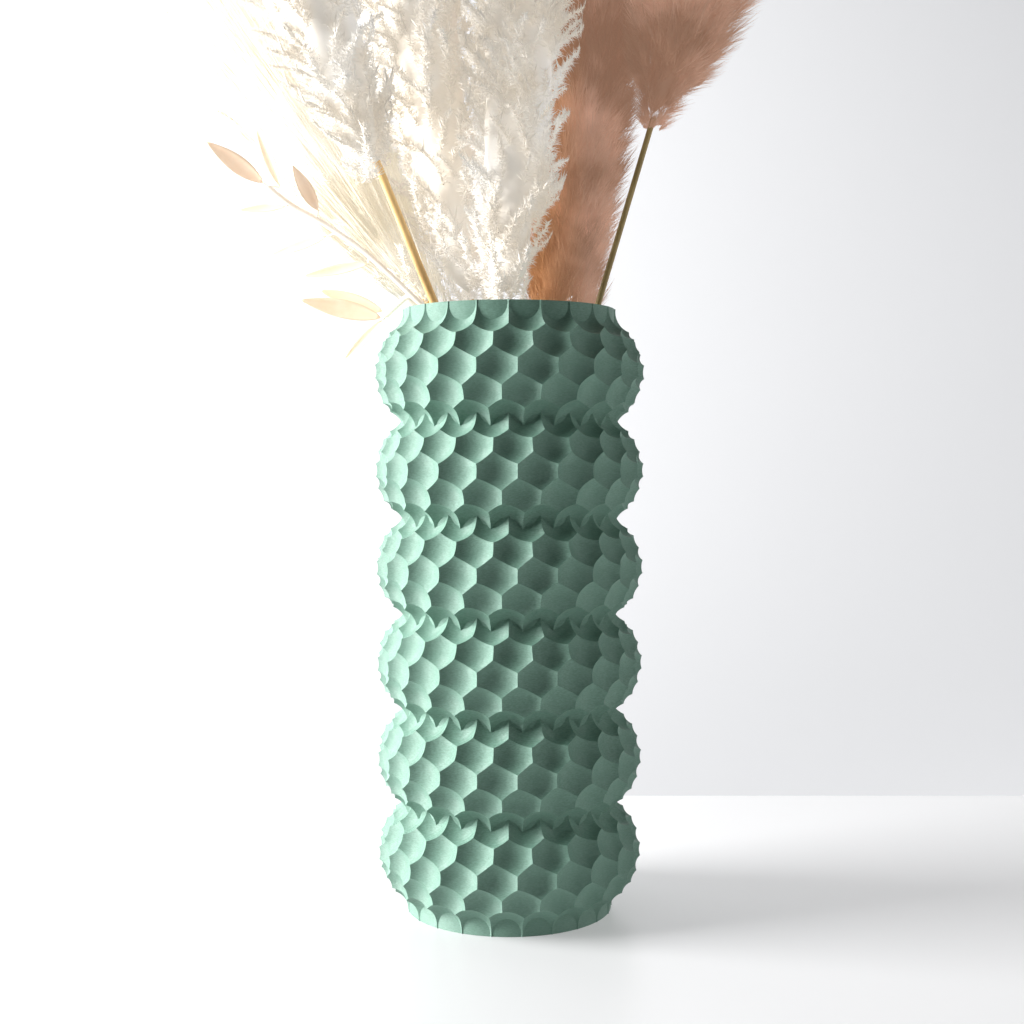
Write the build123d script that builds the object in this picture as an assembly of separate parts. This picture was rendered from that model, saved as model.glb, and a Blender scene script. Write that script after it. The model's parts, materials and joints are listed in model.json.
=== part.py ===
from build123d import *
from math import cos, hypot, radians, sin
import os

# Honeycomb bubble vase, printed in one piece, holding eight dried stems.
# Millimetres, +Z up, origin at the middle of the foot, -Y is the front.

os.makedirs("parts", exist_ok=True)

# ---------------------------------------------------------------- dimensions
# vase
HEIGHT = 254.0            # ten inches
BULGES = 6
PITCH = 40.5              # from one bulge to the next
REACH = (HEIGHT - PITCH * (BULGES - 1)) / 2   # end bulges are cut off this far out
MAX_RADIUS = 56.2         # outermost corner of the honeycomb ridges
BULGE_RADIUS = 27.0       # roundness of one bulge in section
RING_RADIUS = MAX_RADIUS - BULGE_RADIUS
CORE_RADIUS = 44.0        # straight wall that the bulges grow out of
CAVITY_RADIUS = 41.6
WALL = 2.2
FLOOR = 3.0

# honeycomb
CELLS = 22                # cells round one row
CELL_ANGLE = 360 / CELLS
ROWS = (-2, -1, 0, 1, 2)  # counted downwards from the middle of a bulge
ROW_TILT = 22.4           # degrees between rows, seen from the bulge's own centre
ROW_SHEAR = 1.8           # extra turn per row, so the rows lean to one side
FIRST_CELL = -78.5        # direction of one middle-row cell
DIMPLE_RADIUS = 12.0
DIMPLE_DEPTH = 3.9        # from the ridge corners to the bottom of a dimple

# Straight stems. mouth is where the stem crosses the rim's plane, lean is its
# sideways run per millimetre of height, foot is the height of its cut end,
# start is where the plume begins, length and width are the plume's.
STEMS = {
    "blush_right": dict(mouth=(36.4, 4.8), lean=(0.295, -0.034), radius=1.5, foot=4.6,
                        start=333.0, length=225.0, width=54.0, neck=3.0, fullest=0.42),
    "blush_tall": dict(mouth=(21.6, 32.0), lean=(0.147, 0.057), radius=1.5, foot=4.0,
                       start=257.0, length=290.0, width=35.0, neck=4.0, fullest=0.25),
    "white_front": dict(mouth=(-1.8, -5.3), lean=(0.056, 0.0), radius=1.8, foot=4.0,
                        start=258.0, length=270.0, width=40.0, neck=4.0, fullest=0.38),
    "white_middle": dict(mouth=(-15.4, 32.2), lean=(-0.192, -0.068), radius=1.8, foot=160.0,
                         start=262.0, length=280.0, width=50.0, neck=4.5, fullest=0.40),
    "white_left": dict(mouth=(-30.0, -2.4), lean=(-0.409, -0.217), radius=2.1, foot=116.0,
                       start=312.0, length=240.0, width=48.0, neck=3.5, fullest=0.42),
    "cream_left": dict(mouth=(-31.5, 22.3), lean=(-0.68, 0.353), radius=1.8, foot=155.0,
                       start=262.0, length=255.0, width=64.0, neck=3.5, fullest=0.50),
}

# Leafy branch and its smaller sprig. Each leaf is (base, tip, width, twist):
# twist turns the blade about its own length, 0 faces the front.
TWIG_RADIUS = 1.1
STALK_RADIUS = 0.45
LEAF_THICKNESS = 0.7
LEAF_GAP = 0.2            # a blade starts this far beyond its stalk's end

BRANCH_INSIDE = (37.4, -10.8, 187.5)
BRANCH_RIM = (-34.4, -11.2, 254.0)
BRANCH_OUTSIDE = [(-43.0, -11.2, 262.0), (-57.4, -11.0, 275.2), (-70.0, -11.2, 284.4),
                  (-78.6, -12.0, 289.8), (-88.3, -13.0, 295.0), (-97.5, -14.6, 302.0)]
BRANCH_LEAVES = [
    ((-99.4, -15.0, 303.6), (-122.0, -15.5, 319.8), 7.2, 10),
    ((-93.6, -10.5, 302.7), (-103.2, -7.5, 326.8), 4.6, -50),
    ((-77.4, -14.6, 292.6), (-87.0, -18.5, 309.8), 5.8, 15),
    ((-90.6, -13.4, 294.9), (-110.2, -12.0, 293.6), 4.6, 60),
    ((-74.6, -9.6, 283.0), (-99.0, -8.5, 276.4), 5.6, 45),
    ((-57.8, -9.0, 272.6), (-85.4, -7.0, 267.4), 5.6, 45),
]

SPRIG_INSIDE = (24.6, 22.1, 52.0)
SPRIG_RIM = (-36.0, 10.0, 254.0)
SPRIG_OUTSIDE = [(-37.4, 9.7, 258.4), (-40.6, 11.4, 261.6), (-45.2, 14.4, 260.2),
                 (-49.2, 16.8, 257.0), (-53.0, 18.6, 253.8)]
SPRIG_LEAVES = [
    ((-55.0, 18.2, 253.0), (-89.8, 16.0, 261.2), 8.4, 10),
    ((-54.6, 20.6, 255.8), (-82.4, 23.4, 265.6), 6.6, -15),
    ((-54.4, 16.6, 251.6), (-71.6, 13.0, 235.6), 4.6, 50),
]


# ---------------------------------------------------------------- the vase
def half_disc(radius, height):
    """Right half of a bulge's section, a disc cut off above and below."""
    width = RING_RADIUS + radius + 4
    disc = Plane.XZ * Pos(RING_RADIUS, 0) * Circle(radius)
    window = Plane.XZ * Pos(width / 2, 0) * Rectangle(width, height)
    return disc & window


def dimple_tools():
    """One ball per honeycomb cell; neighbouring balls leave a sharp ridge."""
    tools = []
    distance = BULGE_RADIUS - DIMPLE_DEPTH + DIMPLE_RADIUS
    for row in ROWS:
        tilt = radians(-row * ROW_TILT)
        radius = RING_RADIUS + distance * cos(tilt)
        height = distance * sin(tilt)
        for cell in range(CELLS):
            turn = radians(FIRST_CELL + cell * CELL_ANGLE + row * (CELL_ANGLE / 2 + ROW_SHEAR))
            place = Pos(radius * cos(turn), radius * sin(turn), height)
            tools.append(place * Sphere(DIMPLE_RADIUS))
    return tools


def bulge_heights():
    return [REACH + number * PITCH for number in range(BULGES)]


def cavity():
    """Hollow that follows the bulges, with a straight bore through the necks."""
    depth = HEIGHT - FLOOR
    bore = Pos(0, 0, FLOOR + depth / 2 + 1) * Cylinder(CAVITY_RADIUS, depth + 2)
    radius = BULGE_RADIUS - DIMPLE_DEPTH - WALL
    rings = []
    for height in bulge_heights():
        width = RING_RADIUS + radius + 4
        disc = Plane.XZ * Pos(RING_RADIUS, height) * Circle(radius)
        window = Plane.XZ * Pos(width / 2, FLOOR + depth / 2) * Rectangle(width, depth)
        rings.append(revolve(disc & window, axis=Axis.Z))
    return bore.fuse(*rings)


def make_vase():
    blank = revolve(half_disc(BULGE_RADIUS + 3, 2 * REACH), axis=Axis.Z)
    bulge = blank - dimple_tools()
    core = Pos(0, 0, HEIGHT / 2) * Cylinder(CORE_RADIUS, HEIGHT)
    body = core.fuse(*[Pos(0, 0, height) * bulge for height in bulge_heights()])
    return body - cavity()


# ---------------------------------------------------------------- stems and plumes
def stem_point(stem, height):
    """Point on a stem's axis at this height."""
    run = height - HEIGHT
    return Vector(stem["mouth"][0] + stem["lean"][0] * run,
                  stem["mouth"][1] + stem["lean"][1] * run, height)


def stem_plane(stem, height):
    """Plane square to the stem at this height."""
    direction = Vector(stem["lean"][0], stem["lean"][1], 1)
    return Plane(origin=stem_point(stem, height), z_dir=direction)


def make_stem(stem):
    """Round stalk, a little thinner at the top, from its cut end to the plume."""
    per_height = hypot(1, hypot(*stem["lean"]))
    length = (stem["start"] - stem["foot"]) * per_height
    cone = Cone(stem["radius"], stem["radius"] * 0.8, length,
                align=(Align.CENTER, Align.CENTER, Align.MIN))
    return stem_plane(stem, stem["foot"]) * cone


def make_plume(stem):
    """Spindle that stands for the soft head: narrow neck, full middle, blunt tip."""
    length = stem["length"]
    wide = stem["width"] / 2
    neck = stem["neck"]
    full = stem["fullest"]
    outline = [
        (neck, 0.0),
        (neck + (wide - neck) * 0.62, length * full * 0.38),
        (wide, length * full),
        (wide * 0.86, length * (full + (1 - full) * 0.42)),
        (wide * 0.46, length * (full + (1 - full) * 0.82)),
        (1.5, length),
    ]
    side = Spline(*outline)
    base = Line((0, 0), outline[0])
    top = Line(outline[-1], (0, length))
    axis = Line((0, length), (0, 0))
    profile = Plane.XZ * make_face(Curve() + [side, base, top, axis])
    return stem_plane(stem, stem["start"]) * revolve(profile, axis=Axis.Z)


# ---------------------------------------------------------------- leafy branches
def rod(start, end, radius):
    """Straight round rod between two points."""
    start = Vector(*start)
    end = Vector(*end)
    plane = Plane(origin=start, z_dir=end - start)
    align = (Align.CENTER, Align.CENTER, Align.MIN)
    return plane * Cylinder(radius, (end - start).length, align=align)


def make_twig(inside, rim, outside, leaves):
    """Straight cut stem up to the rim, bent shoot beyond it, and short leaf stalks."""
    path = Curve() + [Line(inside, rim), Spline(rim, *outside, tangents=[
        Vector(*rim) - Vector(*inside), Vector(*outside[-1]) - Vector(*outside[-2])])]
    direction = Vector(*rim) - Vector(*inside)
    section = Plane(origin=inside, z_dir=direction) * Circle(TWIG_RADIUS)
    twig = sweep(section, path=path)
    for base, tip, width, twist in leaves:
        nearest = min(outside[1:], key=lambda point: (Vector(*point) - Vector(*base)).length)
        twig = twig + rod(nearest, base, STALK_RADIUS)
    return twig


def make_leaf(base, tip, width, twist):
    """Lance-shaped blade from two arcs, fullest just past its middle."""
    base = Vector(*base)
    along = Vector(*tip) - base
    base = base + along.normalized() * LEAF_GAP
    length = along.length - LEAF_GAP
    outline = [(0, 0), (length * 0.30, width * 0.36), (length * 0.52, width * 0.5),
               (length * 0.78, width * 0.30), (length, 0)]
    upper = Spline(*outline)
    lower = mirror(upper, about=Plane.XZ)
    blade = extrude(make_face(Curve() + [upper, lower]), amount=LEAF_THICKNESS / 2, both=True)
    across = along.cross(Vector(0, -1, 0))
    facing = across.cross(along).normalized()
    plane = Plane(origin=base, x_dir=along, z_dir=facing)
    return plane * Rot(twist, 0, 0) * blade


# ---------------------------------------------------------------- export
def write(name, shape):
    shape.label = name
    export_step(shape, f"parts/{name}.step", write_pcurves=False)
    box = shape.bounding_box()
    print(name, "volume", round(shape.volume, 1), "from", box.min, "to", box.max)


for name, stem in STEMS.items():
    write(f"{name}_stem", make_stem(stem))
    write(f"{name}_plume", make_plume(stem))

write("branch_twig", make_twig(BRANCH_INSIDE, BRANCH_RIM, BRANCH_OUTSIDE, BRANCH_LEAVES))
for number, leaf in enumerate(BRANCH_LEAVES, 1):
    write(f"branch_leaf_{number}", make_leaf(*leaf))

write("sprig_twig", make_twig(SPRIG_INSIDE, SPRIG_RIM, SPRIG_OUTSIDE, SPRIG_LEAVES))
for number, leaf in enumerate(SPRIG_LEAVES, 1):
    write(f"sprig_leaf_{number}", make_leaf(*leaf))

write("vase", make_vase())
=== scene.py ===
# %% [markdown]
# A tall vase with eight dried stems standing in it.
# The solid model is the fixed frame: the vase, the stalks and the two twigs come from it and
# only get a finish here, because their shapes are right. The soft heads of grass and the
# leaves are plain stand-ins there, so this lesson makes them again, hair by hair and blade by
# blade, in the space that the stand-ins hold.

# %% Load the fixed frame
import json
import math
import random
import bmesh
import bpy
from mathutils import Matrix, Vector, noise


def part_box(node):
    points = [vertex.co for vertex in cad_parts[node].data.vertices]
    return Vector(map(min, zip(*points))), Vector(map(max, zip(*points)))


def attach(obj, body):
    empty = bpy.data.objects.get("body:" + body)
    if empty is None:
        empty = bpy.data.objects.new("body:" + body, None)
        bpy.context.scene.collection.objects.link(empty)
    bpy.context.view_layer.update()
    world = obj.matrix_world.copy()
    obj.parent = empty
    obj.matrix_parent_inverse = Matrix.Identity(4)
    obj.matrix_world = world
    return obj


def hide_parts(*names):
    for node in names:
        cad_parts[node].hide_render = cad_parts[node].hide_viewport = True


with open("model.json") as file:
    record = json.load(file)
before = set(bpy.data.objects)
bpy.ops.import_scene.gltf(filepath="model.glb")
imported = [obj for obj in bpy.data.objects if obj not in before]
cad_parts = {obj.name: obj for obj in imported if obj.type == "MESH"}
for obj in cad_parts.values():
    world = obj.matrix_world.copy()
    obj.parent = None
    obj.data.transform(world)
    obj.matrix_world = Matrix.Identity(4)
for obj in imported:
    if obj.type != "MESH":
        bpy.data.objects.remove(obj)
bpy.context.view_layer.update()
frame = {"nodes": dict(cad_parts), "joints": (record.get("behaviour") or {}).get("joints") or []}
MM = 0.001
lift_axis = {joint["child"]: Vector(joint["axis"]).normalized() for joint in frame["joints"]}

# %% [markdown]
# The camera comes first, because everything else is judged through it. It stands a little
# over 60 cm in front of the vase, at about three quarters of its height, and looks down by a
# few degrees. The lens is a normal one. A small upward shift of the sensor keeps the vase low
# in the frame and leaves room above it for the grass.

# %% Camera
vase_low, vase_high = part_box("vase")
vase_height = vase_high.z - vase_low.z
CAMERA_DISTANCE = 2.42 * vase_height
CAMERA_HEIGHT = 0.756 * vase_height
CAMERA_PITCH = math.radians(5.4)
SENSOR_WIDTH = 36
LENS = 51
SHIFT_RIGHT = 0.0027
SHIFT_UP = 0.083

camera_data = bpy.data.cameras.new("camera")
camera_data.sensor_width = SENSOR_WIDTH
camera_data.lens = LENS
camera_data.shift_x = SHIFT_RIGHT
camera_data.shift_y = SHIFT_UP
camera = bpy.data.objects.new("camera", camera_data)
camera.location = (0, -CAMERA_DISTANCE, CAMERA_HEIGHT)
camera.rotation_euler = (math.radians(90) - CAMERA_PITCH, 0, 0)
bpy.context.scene.collection.objects.link(camera)
bpy.context.scene.camera = camera
print("camera stands at", tuple(round(c, 3) for c in camera.location))

# %% [markdown]
# Materials share a few habits, so there are small helpers for them: one makes an empty
# material with a Principled shader, one adds a node with its settings, and one joins sockets.
# A material could be set up by hand in the editor just as well; in code the helpers keep each
# recipe short enough to read.

# %% Material helpers
def add_node(tree, kind, **settings):
    node = tree.nodes.new(kind)
    for name, value in settings.items():
        if name in node.inputs:
            node.inputs[name].default_value = value
        else:
            setattr(node, name, value)
    return node


def new_material(name, roughness=0.8, **sockets):
    material = bpy.data.materials.new(name)
    material.use_nodes = True
    shader = material.node_tree.nodes["Principled BSDF"]
    shader.inputs["Roughness"].default_value = roughness
    for socket, value in sockets.items():
        shader.inputs[socket.replace("_", " ")].default_value = value
    return material, material.node_tree, shader


def ramp(tree, fac, stops):
    """Colour ramp from (place, colour) pairs, driven by fac."""
    node = tree.nodes.new("ShaderNodeValToRGB")
    elements = node.color_ramp.elements
    while len(elements) < len(stops):
        elements.new(0.5)
    for element, (place, colour) in zip(elements, stops):
        element.position = place
        element.color = (*colour, 1)
    tree.links.new(fac, node.inputs["Fac"])
    return node.outputs["Color"]


def mix(tree, fac, first, second, blend="MIX"):
    """Mix two colours; fac, first and second are sockets or plain values."""
    node = tree.nodes.new("ShaderNodeMix")
    node.data_type = "RGBA"
    node.blend_type = blend
    for socket, value in ((node.inputs[0], fac), (node.inputs[6], first), (node.inputs[7], second)):
        if isinstance(value, bpy.types.NodeSocket):
            tree.links.new(value, socket)
        elif isinstance(value, (int, float)):
            socket.default_value = value
        else:
            socket.default_value = (*value, 1)
    return node.outputs[2]


def bump(tree, shader, height, distance, strength=1.0):
    """Raise the surface where height, a socket from 0 to 1 or so, is high."""
    node = add_node(tree, "ShaderNodeBump", Distance=distance, Strength=strength)
    tree.links.new(height, node.inputs["Height"])
    tree.links.new(node.outputs["Normal"], shader.inputs["Normal"])


def paint(piece, material):
    """Give every face of a piece this one material."""
    piece.data.materials.clear()
    piece.data.materials.append(material)


# %% [markdown]
# Two effects are wanted more than once, so each is a node group with named inputs. "Streaks"
# is noise stretched along one direction: squeezed in height it draws the fine lines that a
# printer leaves layer by layer, and stretched along a stalk it is plant fibre. "Patches" is
# broad, soft variation, which keeps any dyed or sun-dried surface from looking painted.

# %% Shared node groups
def new_group(name, inputs, outputs):
    tree = bpy.data.node_groups.new(name, "ShaderNodeTree")
    for label, kind, value in inputs:
        socket = tree.interface.new_socket(label, in_out="INPUT", socket_type=kind)
        socket.default_value = value
    for label, kind in outputs:
        tree.interface.new_socket(label, in_out="OUTPUT", socket_type=kind)
    return tree, tree.nodes.new("NodeGroupInput"), tree.nodes.new("NodeGroupOutput")


def make_streaks_group():
    tree, start, end = new_group(
        "streaks",
        [("Stretch", "NodeSocketVector", (1, 1, 1)), ("Detail", "NodeSocketFloat", 3.0)],
        [("Value", "NodeSocketFloat")])
    place = add_node(tree, "ShaderNodeTexCoord")
    scaled = add_node(tree, "ShaderNodeVectorMath", operation="MULTIPLY")
    texture = add_node(tree, "ShaderNodeTexNoise", Scale=1.0, Roughness=0.6)
    tree.links.new(place.outputs["Object"], scaled.inputs[0])
    tree.links.new(start.outputs["Stretch"], scaled.inputs[1])
    tree.links.new(scaled.outputs[0], texture.inputs["Vector"])
    tree.links.new(start.outputs["Detail"], texture.inputs["Detail"])
    tree.links.new(texture.outputs["Fac"], end.inputs["Value"])
    return tree


def make_patches_group():
    tree, start, end = new_group(
        "patches",
        [("Scale", "NodeSocketFloat", 20.0), ("Low", "NodeSocketFloat", 0.35),
         ("High", "NodeSocketFloat", 0.65)],
        [("Mask", "NodeSocketFloat")])
    place = add_node(tree, "ShaderNodeTexCoord")
    texture = add_node(tree, "ShaderNodeTexNoise", Detail=3.0, Roughness=0.55)
    spread = add_node(tree, "ShaderNodeMapRange")
    tree.links.new(place.outputs["Object"], texture.inputs["Vector"])
    tree.links.new(start.outputs["Scale"], texture.inputs["Scale"])
    tree.links.new(texture.outputs["Fac"], spread.inputs["Value"])
    tree.links.new(start.outputs["Low"], spread.inputs["From Min"])
    tree.links.new(start.outputs["High"], spread.inputs["From Max"])
    tree.links.new(spread.outputs["Result"], end.inputs["Mask"])
    return tree


STREAKS = make_streaks_group()
PATCHES = make_patches_group()


def use_group(tree, group, **values):
    node = tree.nodes.new("ShaderNodeGroup")
    node.node_tree = group
    for name, value in values.items():
        node.inputs[name].default_value = value
    return node


print("node groups:", STREAKS.name, PATCHES.name)

# %% [markdown]
# The vase is one print in matte sage-green plastic. Up close its skin is a stack of fine level
# lines, slightly uneven, and a painted highlight makes it a little lighter where a line stands proud.
# The lines could be modelled, but there are hundreds, so a bump does it: a fine regular
# ripple in height, with streaks that make some lines stronger than others.

# %% Vase finish
LAYER = 0.4 * MM
LAYER_RELIEF = 0.14 * MM
RIPPLE_SHARE = 0.35
SAGE = (0.145, 0.278, 0.214)
SAGE_HIGHLIGHT = (0.180, 0.318, 0.250)
SAGE_DARK = (0.116, 0.228, 0.172)


def make_vase_material():
    material, tree, shader = new_material("sage print", roughness=0.50, Specular_IOR_Level=0.55)
    streaks = use_group(tree, STREAKS, Stretch=(800, 800, 3000), Detail=2.0)
    patches = use_group(tree, PATCHES, Scale=16.0)
    place = add_node(tree, "ShaderNodeTexCoord")
    split = add_node(tree, "ShaderNodeSeparateXYZ")
    turns = add_node(tree, "ShaderNodeMath", operation="MULTIPLY")
    turns.inputs[1].default_value = 2 * math.pi / LAYER
    ripple = add_node(tree, "ShaderNodeMath", operation="SINE")
    tree.links.new(place.outputs["Object"], split.inputs[0])
    tree.links.new(split.outputs["Z"], turns.inputs[0])
    tree.links.new(turns.outputs[0], ripple.inputs[0])
    height = add_node(tree, "ShaderNodeMath", operation="MULTIPLY_ADD")
    height.inputs[1].default_value = RIPPLE_SHARE
    tree.links.new(ripple.outputs[0], height.inputs[0])
    tree.links.new(streaks.outputs["Value"], height.inputs[2])
    colour = mix(tree, patches.outputs["Mask"], SAGE_DARK, SAGE)
    # Painted highlight: the sage turns lighter where the streaks raise a layer line.
    proud_highlight = ramp(tree, streaks.outputs["Value"], [(0.35, (0, 0, 0)), (0.68, (1, 1, 1))])
    colour = mix(tree, proud_highlight, colour, SAGE_HIGHLIGHT)
    tree.links.new(colour, shader.inputs["Base Color"])
    bump(tree, shader, height.outputs[0], LAYER_RELIEF)
    return material


paint(frame["nodes"]["vase"], make_vase_material())
print("vase stands", round(vase_height / MM), "mm tall")

# %% [markdown]
# Stalks and twigs are dried plant stems: pale straw, with fibres running along them and
# darker joints and blotches. The fibres are the streaks group again, long in the direction of
# the stalk, which is near enough upright for all of them. A little emission in their own colour
# is painted light, for the light that the white heads and the room bounce onto them.

# %% Stalk and twig finishes
FIBRE_RELIEF = 0.15 * MM


def make_stalk_material(name, light, dark, spots, glow):
    material, tree, shader = new_material(name, roughness=0.55, Emission_Strength=glow)
    fibres = use_group(tree, STREAKS, Stretch=(1400, 1400, 60), Detail=4.0)
    patches = use_group(tree, PATCHES, Scale=55.0, Low=0.4, High=0.7)
    colour = mix(tree, fibres.outputs["Value"], dark, light)
    blotch = mix(tree, 0.5, colour, spots)
    colour = mix(tree, patches.outputs["Mask"], colour, blotch)
    tree.links.new(colour, shader.inputs["Base Color"])
    # Painted light: the emission in the stem's own colour stands for bounced light.
    tree.links.new(colour, shader.inputs["Emission Color"])
    bump(tree, shader, fibres.outputs["Value"], FIBRE_RELIEF, 0.6)
    return material


straw = make_stalk_material("straw stalk", (0.90, 0.62, 0.29), (0.70, 0.43, 0.16),
                            (0.46, 0.25, 0.08), 0.22)
olive = make_stalk_material("olive stalk", (0.42, 0.31, 0.13), (0.24, 0.17, 0.06),
                            (0.15, 0.10, 0.03), 0.12)
peach = make_stalk_material("peach twig", (0.93, 0.87, 0.79), (0.86, 0.76, 0.64),
                            (0.74, 0.58, 0.44), 0.4)
for name, node in frame["nodes"].items():
    if name.endswith("_stem"):
        paint(node, olive if name == "blush_right_stem" else straw)
    elif name.endswith("_twig"):
        paint(node, peach)

# %% [markdown]
# A head of grass is tens of thousands of fine hairs. Making each where it grows would be slow,
# so a few different tufts are made once and stamped many times along the head. Each hair is a
# needle with three sides: closed, so that it looks right from everywhere, and only a few faces,
# because there are so many. The helper below adds one needle to a tuft. Its texture
# coordinates carry two facts for the finish: across is a shade picked for this hair, and up is
# how far along the hair a point lies. Shades up to 0.8 belong to fine hair, those from 0.84 to
# 0.9 to thick hair, which the finish makes paler as a painted highlight, and any above 0.9 to seeds.

# %% One hair
FINE_SHADE = 0.8
HIGHLIGHT_HAIR_SHADE = 0.84
SEED_LIMIT = 0.9
SEED_SHADE = 0.95
SPIN_PER_SHADE = 40.0


def add_needle(bm, root, direction, length, width, shade, bend=0.0, cuts=0):
    """A thin three-sided needle from root along direction, bent sideways towards its tip."""
    layer = bm.loops.layers.uv.verify()
    made = bmesh.ops.create_cone(bm, cap_ends=True, segments=3, radius1=width / 2, radius2=0,
                                 depth=length)
    corners = made["verts"]
    bmesh.ops.translate(bm, verts=corners, vec=(0, 0, length / 2))
    for cut in range(cuts):
        faces = {face for corner in corners for face in corner.link_faces}
        edges = {edge for corner in corners for edge in corner.link_edges}
        bmesh.ops.bisect_plane(bm, geom=[*corners, *edges, *faces], dist=1e-7,
                               plane_co=(0, 0, length * (cut + 1) / (cuts + 1)),
                               plane_no=(0, 0, 1))
        corners = list({v for face in faces | {f for c in corners for f in c.link_faces}
                        for v in face.verts})
    faces = {face for corner in corners for face in corner.link_faces}
    for face in faces:
        face.smooth = True
        for loop in face.loops:
            loop[layer].uv = (shade, max(0.0, loop.vert.co.z / length))
    for corner in corners:
        corner.co.x += bend * length * (corner.co.z / length) ** 2
    turn = Vector(direction).to_track_quat("Z", "Y").to_matrix().to_4x4()
    spin = Matrix.Rotation(shade * SPIN_PER_SHADE, 4, "Z")
    bmesh.ops.transform(bm, verts=corners, matrix=Matrix.Translation(root) @ turn @ spin)


def tilted(rng, most, least=0.0):
    """A direction tilted off +Z by up to most radians, turned any way."""
    tilt = rng.uniform(least, most)
    turn = rng.uniform(0, 2 * math.pi)
    return Vector((math.sin(tilt) * math.cos(turn), math.sin(tilt) * math.sin(turn), math.cos(tilt)))


def finish_tuft(bm, name):
    """Keep a tuft as a mesh, ready for stamping."""
    mesh = bpy.data.meshes.new(name)
    bm.to_mesh(mesh)
    bm.free()
    return mesh


# %% [markdown]
# The three kinds of grass differ in their tufts. Blush heads are like a fox's tail: even, fine
# hair that leans out and up. White heads are frothy: short fuzz stands out all round the lines
# of small curled side twigs, with straw-coloured seeds between. The cream head is a broom of
# long silky threads that run nearly straight, with some froth among them.

# %% Tufts
SOFT_HAIRS = 38
FROTHY_HAIRS = 226
SILKY_HAIRS = 22
SOFT_WIDTH = 0.26 * MM
THICK_WIDTH = 0.62 * MM
FROTHY_WIDTH = 0.44 * MM
SILKY_WIDTH = 0.5 * MM
SEED_WIDTH = 1.7 * MM
SEED_LENGTH = 7.0 * MM


def soft_tuft(seed):
    """Fine hair fanning from one point, for the blush heads. Every sixth is thick, with a pale painted
    highlight.
    """
    rng = random.Random(seed)
    bm = bmesh.new()
    for number in range(SOFT_HAIRS):
        root = Vector((rng.gauss(0, 0.9), rng.gauss(0, 0.9), rng.uniform(-1.5, 1.5))) * MM
        length = rng.uniform(9, 20) * MM
        direction = tilted(rng, 0.6)
        if number % 6 == 0:
            shade = HIGHLIGHT_HAIR_SHADE + 0.05 * rng.random()
            add_needle(bm, root, direction, length * 1.15, THICK_WIDTH, shade)
        else:
            add_needle(bm, root, direction, length, SOFT_WIDTH, rng.random() * 0.6)
    return finish_tuft(bm, f"soft tuft {seed}")


def frothy_tuft(seed):
    """Short fuzz all round the line of a curled side twig, with two seeds, for the white heads."""
    rng = random.Random(seed)
    bm = bmesh.new()
    reach = rng.uniform(18, 26) * MM
    curl = rng.uniform(0.3, 1.6)
    for number in range(FROTHY_HAIRS):
        along = (number + rng.random()) / FROTHY_HAIRS
        root = Vector((reach * curl / 2 * along ** 2, 0, reach * along))
        length = rng.uniform(2.6, 5.6) * (1.05 - 0.5 * along) * MM
        direction = Matrix.Rotation(curl * along, 3, "Y") @ tilted(rng, 1.8, 0.5)
        add_needle(bm, root, direction, length, FROTHY_WIDTH, rng.random() * FINE_SHADE)
    for _ in range(2):
        along = rng.uniform(0.2, 0.8)
        root = Vector((reach * curl / 2 * along ** 2, 0, reach * along))
        add_needle(bm, root, tilted(rng, 0.7, 0.3), SEED_LENGTH, SEED_WIDTH, SEED_SHADE)
    return finish_tuft(bm, f"frothy tuft {seed}")


def silky_tuft(seed):
    """Long bent threads lying nearly side by side, for the cream head."""
    rng = random.Random(seed)
    bm = bmesh.new()
    for _ in range(SILKY_HAIRS):
        root = Vector((rng.gauss(0, 1.6), rng.gauss(0, 1.6), rng.uniform(-9, 9))) * MM
        length = rng.uniform(50, 85) * MM
        bend = rng.uniform(-0.08, 0.08)
        direction = tilted(rng, 0.09)
        add_needle(bm, root, direction, length, SILKY_WIDTH, rng.random() * FINE_SHADE, bend, 1)
    return finish_tuft(bm, f"silky tuft {seed}")


VARIANTS = 5
tufts = {
    "blush": [soft_tuft(seed) for seed in range(VARIANTS)],
    "white": [frothy_tuft(seed) for seed in range(10, 10 + VARIANTS)],
    "cream": [silky_tuft(seed) for seed in range(20, 20 + VARIANTS)],
}
tufts["cream"] += tufts["white"][:2]
for kind, meshes in tufts.items():
    print(kind, "tuft has", len(meshes[0].polygons), "faces")

# %% [markdown]
# Where a head stands, how long it is and how thick at each height is read from its stand-in,
# so the hair always fills the space that the frame gives it.

# %% Read a stand-in's outline
SLICES = 24
RIM_REACH = 0.02 * MM


def read_spindle(node, axis):
    """Base point, length and radius slice by slice of a plume's stand-in."""
    corners = [vertex.co for vertex in frame["nodes"][node].data.vertices]
    low = min(corner.dot(axis) for corner in corners)
    length = max(corner.dot(axis) for corner in corners) - low
    rim = {tuple(round(c, 5) for c in corner) for corner in corners
           if corner.dot(axis) < low + RIM_REACH}
    base = sum((Vector(point) for point in rim), Vector()) / len(rim)
    radii = [0.0] * (SLICES + 1)
    for corner in corners:
        place = corner - base
        along = place.dot(axis)
        slot = min(SLICES, max(0, round(along / length * SLICES)))
        radii[slot] = max(radii[slot], (place - axis * along).length)
    return base, length, radii


def radius_at(radii, share):
    """Radius at a share of the length, between the slices."""
    place = min(max(share, 0.0), 0.9999) * SLICES
    slot = int(place)
    part = place - slot
    return radii[slot] * (1 - part) + radii[slot + 1] * part


# %% [markdown]
# Hair finish: from root to tip the colour goes from a darker tone inside the head to a paler one
# outside: partly the plant's own colour, and partly painted shade inside and painted sunlight at
# the tips. Each hair is a little different, with broad patches over the whole head. Thick hairs
# are made paler than the rest as a painted highlight, and seeds are straw in every head. The
# blush heads get a painted golden glow on their left, for the window light that shines through
# them. Real dried hair is so thin that light comes through it and a head glows from within.
# Solid needles can't let it through, so a little emission in the hair's own colour gives that
# glow back as painted light.

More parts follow.
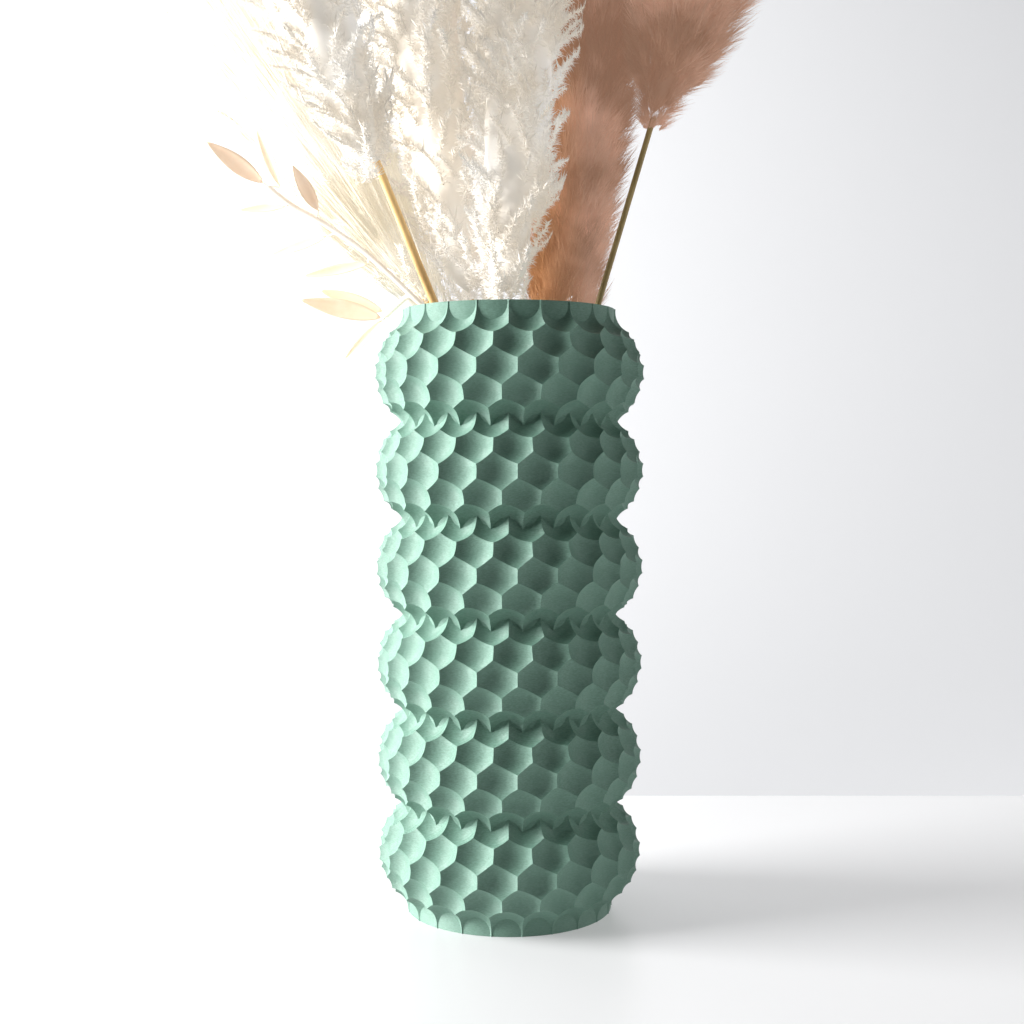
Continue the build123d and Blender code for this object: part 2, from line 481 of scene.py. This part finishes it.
# %% Hair finishes
STRAW = (0.60, 0.37, 0.14)
# The golden tint, and where it starts and is full, are painted window light on the left of the blush
# heads.
WINDOW_GLOW_TINT = (1.0, 0.78, 0.46)
WINDOW_GLOW_FROM = 34 * MM
WINDOW_GLOW_FULL = 14 * MM
WINDOW_GLOW_MOST = 0.9


def paint_window_glow(tree, colour):
    """Painted window light: warm the colour from one place across the bunch to another further left."""
    place = add_node(tree, "ShaderNodeTexCoord")
    position = add_node(tree, "ShaderNodeSeparateXYZ")
    window_glow = add_node(tree, "ShaderNodeMapRange")
    window_glow.inputs["From Min"].default_value = WINDOW_GLOW_FROM
    window_glow.inputs["From Max"].default_value = WINDOW_GLOW_FULL
    window_glow.inputs["To Max"].default_value = WINDOW_GLOW_MOST
    tree.links.new(place.outputs["Object"], position.inputs[0])
    tree.links.new(position.outputs["X"], window_glow.inputs["Value"])
    warm = mix(tree, 1.0, colour, WINDOW_GLOW_TINT, "MULTIPLY")
    return mix(tree, window_glow.outputs["Result"], colour, warm)


def make_hair_material(name, inside, middle, tip, patch, dim, glow, window_glow=False):
    material, tree, shader = new_material(name, roughness=0.75, Specular_IOR_Level=0.2,
                                          Emission_Strength=glow)
    uv = add_node(tree, "ShaderNodeUVMap", uv_map="UVMap")
    split = add_node(tree, "ShaderNodeSeparateXYZ")
    tree.links.new(uv.outputs["UV"], split.inputs[0])
    # Darker inside, paler at the tips: partly the plant's own colour, partly painted shade and painted
    # sunlight.
    colour = ramp(tree, split.outputs["Y"], [(0.0, inside), (0.3, middle), (0.7, middle), (1.0, tip)])
    # Thick hairs are made brighter than the rest: a painted highlight.
    own = ramp(tree, split.outputs["X"], [(0.0, (dim, dim, dim)), (FINE_SHADE, (1.12, 1.12, 1.12)),
                                          (HIGHLIGHT_HAIR_SHADE, (1.3, 1.34, 1.38))])
    colour = mix(tree, 0.8, colour, own, "MULTIPLY")
    patches = use_group(tree, PATCHES, Scale=26.0, Low=0.42, High=0.66)
    colour = mix(tree, patches.outputs["Mask"], colour, mix(tree, 0.55, colour, patch))
    # Painted light: the left of a blush head turns golden, for the window light shining through it.
    if window_glow:
        colour = paint_window_glow(tree, colour)
    seeds = add_node(tree, "ShaderNodeMath", operation="GREATER_THAN")
    seeds.inputs[1].default_value = SEED_LIMIT
    tree.links.new(split.outputs["X"], seeds.inputs[0])
    colour = mix(tree, seeds.outputs[0], colour, STRAW)
    tree.links.new(colour, shader.inputs["Base Color"])
    tree.links.new(colour, shader.inputs["Emission Color"])
    return material


hair = {
    "blush": make_hair_material("blush hair", (0.58, 0.34, 0.23), (0.87, 0.67, 0.57),
                                (0.97, 0.93, 0.90), (0.76, 0.50, 0.39), 0.42, 0.60, window_glow=True),
    "white": make_hair_material("white hair", (0.84, 0.78, 0.69), (0.88, 0.905, 0.935),
                                (0.91, 0.93, 0.96), (0.835, 0.84, 0.84), 0.82, 0.37),
    "cream": make_hair_material("cream hair", (0.84, 0.77, 0.64), (0.91, 0.895, 0.865),
                                (0.93, 0.93, 0.92), (0.88, 0.86, 0.81), 0.84, 0.42),
}

# %% [markdown]
# Growing a head: tufts start on an inner core and lean out until their tips reach the
# stand-in's surface further up. They are placed in a spiral with some scatter, thickest where
# the head is widest. The core itself is a lathe-turned spindle that stops light from shining
# straight through, as the dense middle of a real head does. The frothy heads need so much fuzz
# that they are made as two pieces each, to keep every piece light enough to edit. Last, hair
# that strays too far is combed back, so that a head keeps the size it has in the frame.
#
# A habit is how one kind grows: in how many pieces, how many tufts each piece has, how far a
# tuft reaches, where between the middle and the outline it starts, how wide the core is, which
# stretch of the head has tufts, how far past the outline they aim, how much they may lean, and
# how far past it they may stay. A skirt is the least radius, in mm, of a head's lowest third.

# %% Grow a head
GOLDEN_ANGLE = math.radians(137.508)
CORE_SHADE = (0.4, 0.06)
CORE_SIDES = 20
CORE_START = 0.01
CORE_END = 0.97
CORE_LUMPS = 0.25
LUMPS_PER_METRE = 90
THINNEST = 0.25
LEAN_IN_MOST = -0.5
NARROW_SKIRT = 5 * MM
NARROW_FOOT = 0.5
LOOSE_LEAST = 1 * MM
LOOSE_MOST = 4 * MM
STRAY_KEPT = 0.15
TIP_KEPT = 0.1
SKIRT = {"blush_right": 2.5, "blush_tall": 15, "white_front": 12, "white_middle": 13,
         "white_left": 8, "cream_left": 9}
HABIT = {
    "blush": dict(pieces=1, count=1180, reach=17 * MM, inner=(0.45, 0.90), core=0.55, ends=(-0.02, 0.94),
                  proud=1.24, lean=0.70, comb=1.15),
    "white": dict(pieces=2, count=205, reach=23 * MM, inner=(0.35, 0.85), core=0.66, ends=(-0.03, 0.95),
                  proud=1.02, lean=0.60, comb=1.05),
    "cream": dict(pieces=1, count=480, reach=70 * MM, inner=(0.10, 0.80), core=0.40, ends=(-0.03, 0.82),
                  proud=1.08, lean=0.45, comb=1.00),
}


def add_core(bm, radii, length, share):
    """A spun, slightly lumpy spindle inside the head, with the hair's inside tone, which is partly
    painted shade.
    """
    layer = bm.loops.layers.uv.verify()
    profile = [bm.verts.new((0, 0, length * CORE_START))]
    for slot in range(1, SLICES):
        profile.append(bm.verts.new((radii[slot] * share, 0, length * slot / SLICES)))
    profile.append(bm.verts.new((0, 0, length * CORE_END)))
    edges = [bm.edges.new(pair) for pair in zip(profile, profile[1:])]
    bmesh.ops.spin(bm, geom=[*profile, *edges], cent=(0, 0, 0), axis=(0, 0, 1),
                   angle=2 * math.pi, steps=CORE_SIDES, use_merge=True)
    bmesh.ops.remove_doubles(bm, verts=bm.verts, dist=1e-6)
    bmesh.ops.recalc_face_normals(bm, faces=bm.faces)
    for vertex in bm.verts:
        swell = 1 + CORE_LUMPS * noise.noise(vertex.co * LUMPS_PER_METRE)
        vertex.co.x *= swell
        vertex.co.y *= swell
    for face in bm.faces:
        face.smooth = True
        for loop in face.loops:
            loop[layer].uv = CORE_SHADE


def plant(bm, rng, kind, radii, length, first, foot):
    """Stamp tufts of one kind over a head on the origin; foot is how large they start."""
    habit = HABIT[kind]
    widest = max(radii)
    planted = 0
    while planted < habit["count"]:
        share = rng.uniform(*habit["ends"])
        here = radius_at(radii, share)
        if rng.random() > THINNEST + (1 - THINNEST) * here / widest:
            continue
        size = rng.uniform(0.8, 1.2) * min(1, foot + max(0, share) * 5)
        reach = habit["reach"] * size
        start = here * rng.uniform(*habit["inner"])
        aim = radius_at(radii, share + reach / length) * habit["proud"] * rng.uniform(0.88, 1.05)
        lean = math.asin(min(habit["lean"], max(LEAN_IN_MOST, (aim - start) / reach)))
        turn = (planted + first) * GOLDEN_ANGLE + rng.uniform(-0.3, 0.3)
        out = Vector((math.cos(turn), math.sin(turn), 0))
        direction = out * math.sin(lean) + Vector((0, 0, math.cos(lean)))
        root = out * start + Vector((0, 0, share * length))
        place = (Matrix.Translation(root) @ direction.to_track_quat("Z", "Y").to_matrix().to_4x4()
                 @ Matrix.Rotation(rng.uniform(0, 2 * math.pi), 4, "Z") @ Matrix.Scale(size, 4))
        stamp = rng.choice(tufts[kind]).copy()
        stamp.transform(place)
        bm.from_mesh(stamp)
        bpy.data.meshes.remove(stamp)
        planted += 1


def comb(bm, radii, length, proud):
    """Pull in hair that stands too far off the outline, so that the head keeps its size."""
    for vertex in bm.verts:
        place = vertex.co
        outline = radius_at(radii, place.z / length)
        limit = outline * proud + min(LOOSE_MOST, LOOSE_LEAST + outline / 2)
        here = math.hypot(place.x, place.y)
        if here > limit:
            pull = (limit + STRAY_KEPT * (here - limit)) / here
            place.x *= pull
            place.y *= pull
        if place.z > length:
            place.z = length + TIP_KEPT * (place.z - length)


def grow_head(node, kind, seed):
    """Fill one stand-in with hair of a kind, as one piece or two on the stand-in's body."""
    body = node.removesuffix("_plume")
    axis = lift_axis[body]
    base, length, radii = read_spindle(node, axis)
    skirt = SKIRT[body] * MM
    foot = NARROW_FOOT if skirt < NARROW_SKIRT else 1.0
    radii = [max(radius, skirt) if slot < SLICES / 3 else radius for slot, radius in enumerate(radii)]
    stand = Matrix.Translation(base) @ axis.to_track_quat("Z", "Y").to_matrix().to_4x4()
    rng = random.Random(seed)
    for number in range(HABIT[kind]["pieces"]):
        bm = bmesh.new()
        if number == 0:
            add_core(bm, radii, length, HABIT[kind]["core"])
        plant(bm, rng, kind, radii, length, 0.5 * number, foot)
        comb(bm, radii, length, HABIT[kind]["comb"])
        bmesh.ops.transform(bm, verts=bm.verts, matrix=stand)
        mesh = bpy.data.meshes.new(f"{body}_head_{number + 1}")
        bm.to_mesh(mesh)
        bm.free()
        head = bpy.data.objects.new(mesh.name, mesh)
        bpy.context.scene.collection.objects.link(head)
        paint(head, hair[kind])
        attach(head, body)
        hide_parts(node)
        mesh.calc_loop_triangles()
        print(head.name, len(mesh.loop_triangles), "triangles,", round(length / MM), "mm long")


PLUMES = [("blush_right", "blush"), ("blush_tall", "blush"), ("white_front", "white"),
          ("white_middle", "white"), ("white_left", "white"), ("cream_left", "cream")]
for number, (body, kind) in enumerate(PLUMES):
    grow_head(f"{body}_plume", kind, 100 + number)

# %% [markdown]
# A dried leaf is a thin lance-shaped blade, cupped along its middle, with its tip curling
# back and faint veins. The blade starts as a grid, which is narrowed towards both ends, cupped
# and curled, and then given its thickness. Each one is laid over its stand-in: the longest
# direction of the stand-in is the blade's length. The blade faces halfway between the
# stand-in's thinnest direction and the viewer, so that it shows its broad side.

# %% Leaf finish
VEIN_RELIEF = 0.12 * MM


def make_leaf_material():
    # Painted light: the emission in the leaf's own colour stands for light coming through the thin leaf.
    material, tree, shader = new_material("dried leaf", roughness=0.6, Specular_IOR_Level=0.3,
                                          Emission_Strength=0.65)
    uv = add_node(tree, "ShaderNodeUVMap", uv_map="UVMap")
    split = add_node(tree, "ShaderNodeSeparateXYZ")
    tree.links.new(uv.outputs["UV"], split.inputs[0])
    wave = add_node(tree, "ShaderNodeTexWave", Scale=3.2, Distortion=1.4, Detail=2.0)
    tree.links.new(uv.outputs["UV"], wave.inputs["Vector"])
    patches = use_group(tree, PATCHES, Scale=120.0)
    colour = ramp(tree, split.outputs["Y"], [(0.0, (0.84, 0.66, 0.50)), (0.5, (0.91, 0.81, 0.70)),
                                             (1.0, (0.94, 0.88, 0.80))])
    colour = mix(tree, patches.outputs["Mask"], colour, (0.87, 0.72, 0.58))
    veins = ramp(tree, wave.outputs["Fac"], [(0.0, (0.72, 0.62, 0.54)), (0.5, (1, 1, 1))])
    colour = mix(tree, 0.5, colour, veins, "MULTIPLY")
    tree.links.new(colour, shader.inputs["Base Color"])
    tree.links.new(colour, shader.inputs["Emission Color"])
    bump(tree, shader, wave.outputs["Fac"], VEIN_RELIEF, 0.5)
    return material


leaf_finish = make_leaf_material()


# %% Leaf blades
MOUTH_LEFT = Vector((vase_low.x * 0.7, 0, vase_high.z))
TOWARDS_VIEWER = Vector((0, -1, 0.3))
BLADE_THICKNESS = 0.22 * MM
BLADE_END = 0.04


def principal_axes(node):
    """Base, tip, middle width and facing direction of a leaf's stand-in.

    The base is the end that lies nearer to the left of the vase's mouth.
    """
    corners = [vertex.co for vertex in frame["nodes"][node].data.vertices]
    first = max(corners, key=lambda c: (c - corners[0]).length)
    second = max(corners, key=lambda c: (c - first).length)
    base, tip = sorted((first, second), key=lambda c: (c - MOUTH_LEFT).length)
    along = (tip - base).normalized()
    across = max((c - base - along * (c - base).dot(along) for c in corners),
                 key=lambda offset: offset.length)
    width = 2 * across.length
    facing = along.cross(across).normalized()
    return base, tip, width, facing


def make_leaf(node, body, cup, curl):
    """A blade over one stand-in; cup and curl are shares of its width and length."""
    base, tip, width, facing = principal_axes(node)
    if facing.y > 0:
        facing = -facing
    along = tip - base
    toward = TOWARDS_VIEWER - along * TOWARDS_VIEWER.dot(along) / along.length_squared
    facing = (facing * 0.5 + toward.normalized() * 0.5).normalized()
    length = along.length
    bm = bmesh.new()
    layer = bm.loops.layers.uv.verify()
    bmesh.ops.create_grid(bm, x_segments=6, y_segments=16, size=0.5)
    for face in bm.faces:
        face.smooth = True
        for loop in face.loops:
            loop[layer].uv = (loop.vert.co.x + 0.5, loop.vert.co.y + 0.5)
    for vertex in bm.verts:
        up = vertex.co.y + 0.5
        side = vertex.co.x
        full = math.sin(math.pi * up ** 0.85) ** 0.9 if 0 < up < 1 else 0.0
        half = BLADE_END + (1 - BLADE_END) * full
        vertex.co = Vector((side * width * half, up * length,
                            cup * width * (4 * side * side - 1) * half
                            - curl * length * up * up * (1 - 0.4 * up)))
    bmesh.ops.solidify(bm, geom=bm.faces[:], thickness=BLADE_THICKNESS)
    bmesh.ops.recalc_face_normals(bm, faces=bm.faces)
    upward = along.normalized()
    sideways = upward.cross(facing)
    turn = Matrix((sideways, upward, facing)).transposed().to_4x4()
    bmesh.ops.transform(bm, verts=bm.verts, matrix=Matrix.Translation(base) @ turn)
    mesh = bpy.data.meshes.new(node.replace("leaf", "blade"))
    bm.to_mesh(mesh)
    bm.free()
    blade = bpy.data.objects.new(mesh.name, mesh)
    bpy.context.scene.collection.objects.link(blade)
    paint(blade, leaf_finish)
    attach(blade, body)
    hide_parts(node)
    return blade


rng = random.Random(7)
blades = [make_leaf(name, name.split("_")[0], rng.uniform(0.12, 0.3), rng.uniform(0.02, 0.14))
          for name in sorted(frame["nodes"]) if "_leaf_" in name]
print(len(blades), "leaf blades")

# %% [markdown]
# The setting is a white table against a white wall. The table's left and far edges are in
# view, so it is a slab that ends there, not an endless floor. Its paint glows a little: that
# stands for the light of the whole bright room falling on it, and keeps the shadow pale.

# %% Table and wall
TABLE_LEFT = -0.200
TABLE_BACK = 0.205
TABLE_RIGHT = 1.6
TABLE_FRONT = -1.2
TABLE_THICKNESS = 0.04
WALL_DISTANCE = 0.62
WALL_MIDDLE = 0.9
WALL_HALF_SIZE = 3.0


def add_slab(name, low, high, material, rounding):
    bm = bmesh.new()
    bmesh.ops.create_cube(bm, size=1)
    size = Vector(high) - Vector(low)
    bmesh.ops.scale(bm, verts=bm.verts, vec=size)
    bmesh.ops.translate(bm, verts=bm.verts, vec=(Vector(low) + Vector(high)) / 2)
    bmesh.ops.bevel(bm, geom=bm.edges[:], offset=rounding, affect="EDGES", segments=3,
                    profile=0.5, material=-1)
    mesh = bpy.data.meshes.new(name)
    bm.to_mesh(mesh)
    bm.free()
    slab = bpy.data.objects.new(name, mesh)
    bpy.context.scene.collection.objects.link(slab)
    paint(slab, material)


def add_wall(name, distance, half_size, material):
    """A backdrop with one side: seen from behind it is clear, so the vase shows from anywhere."""
    bm = bmesh.new()
    bmesh.ops.create_grid(bm, x_segments=1, y_segments=1, size=half_size)
    upright = Matrix.Rotation(math.radians(90), 4, "X")
    place = Matrix.Translation((0, distance, WALL_MIDDLE)) @ upright
    bmesh.ops.transform(bm, verts=bm.verts, matrix=place)
    mesh = bpy.data.meshes.new(name)
    bm.to_mesh(mesh)
    bm.free()
    wall = bpy.data.objects.new(name, mesh)
    bpy.context.scene.collection.objects.link(wall)
    paint(wall, material)
    tree = material.node_tree
    side = add_node(tree, "ShaderNodeNewGeometry")
    front = add_node(tree, "ShaderNodeMath", operation="SUBTRACT")
    front.inputs[0].default_value = 1.0
    tree.links.new(side.outputs["Backfacing"], front.inputs[1])
    tree.links.new(front.outputs[0], tree.nodes["Principled BSDF"].inputs["Alpha"])
    print("wall faces", tuple(round(c) for c in mesh.polygons[0].normal))


def make_plain_material(name, colour, roughness, specular, glow):
    material, tree, shader = new_material(name, roughness=roughness, Specular_IOR_Level=specular,
                                          Emission_Strength=glow)
    patches = use_group(tree, PATCHES, Scale=3.0, Low=0.2, High=0.8)
    colour = mix(tree, patches.outputs["Mask"], colour, [c * 0.985 for c in colour])
    tree.links.new(colour, shader.inputs["Base Color"])
    shader.inputs["Emission Color"].default_value = (1, 1, 1, 1)
    return material


table_paint = make_plain_material("white table", (0.44, 0.44, 0.445), 0.35, 0.4, 0.32)
wall_paint = make_plain_material("white wall", (0.66, 0.665, 0.68), 0.9, 0.1, 0.0)
add_slab("table", (TABLE_LEFT, TABLE_FRONT, -TABLE_THICKNESS), (TABLE_RIGHT, TABLE_BACK, 0),
         table_paint, 1 * MM)
add_wall("wall", WALL_DISTANCE, WALL_HALF_SIZE, wall_paint)

# %% [markdown]
# The light is a bright window on the left, level with the grass and slightly to the front, so
# the left sides glow and soft shadows fall to the right. White surroundings fill the rest: a
# faint reflector on the right, and light from the floor that washes up the foot of the wall.

# %% Light
def add_area_light(name, place, target, size, power):
    """A rectangular light at place, turned to its target; size in metres, power in watts."""
    data = bpy.data.lights.new(name, "AREA")
    data.shape = "RECTANGLE"
    data.size, data.size_y = size
    data.energy = power
    light = bpy.data.objects.new(name, data)
    light.location = place
    direction = Vector(target) - Vector(place)
    light.rotation_euler = direction.to_track_quat("-Z", "Y").to_euler()
    bpy.context.scene.collection.objects.link(light)


add_area_light("window", (-1.31, -0.14, 0.56), (0, 0, 0.18), (0.8, 0.8), 66)
add_area_light("wall wash", (-0.8, 0.2, 0.1), (-0.1, 0.62, 0.1), (0.6, 0.6), 5)
add_area_light("reflector", (0.9, -0.15, 0.30), (0, 0, 0.15), (0.6, 0.6), 2.4)
add_area_light("floor glow", (0.75, 0.32, -0.35), (0.75, 0.62, -0.10), (0.9, 0.2), 1.6)


def make_world():
    """A pale room to look at, which gives only a little light itself."""
    world = bpy.data.worlds.new("white room")
    world.use_nodes = True
    tree = world.node_tree
    fill = tree.nodes["Background"]
    fill.inputs["Color"].default_value = (0.94, 0.96, 1.0, 1)
    fill.inputs["Strength"].default_value = 0.055
    seen = add_node(tree, "ShaderNodeBackground")
    seen.inputs["Color"].default_value = (0.80, 0.81, 0.83, 1)
    path = add_node(tree, "ShaderNodeLightPath")
    choose = add_node(tree, "ShaderNodeMixShader")
    tree.links.new(path.outputs["Is Camera Ray"], choose.inputs[0])
    tree.links.new(fill.outputs[0], choose.inputs[1])
    tree.links.new(seen.outputs[0], choose.inputs[2])
    tree.links.new(choose.outputs[0], tree.nodes["World Output"].inputs["Surface"])
    return world


bpy.context.scene.world = make_world()
bpy.context.scene.view_settings.view_transform = "Standard"
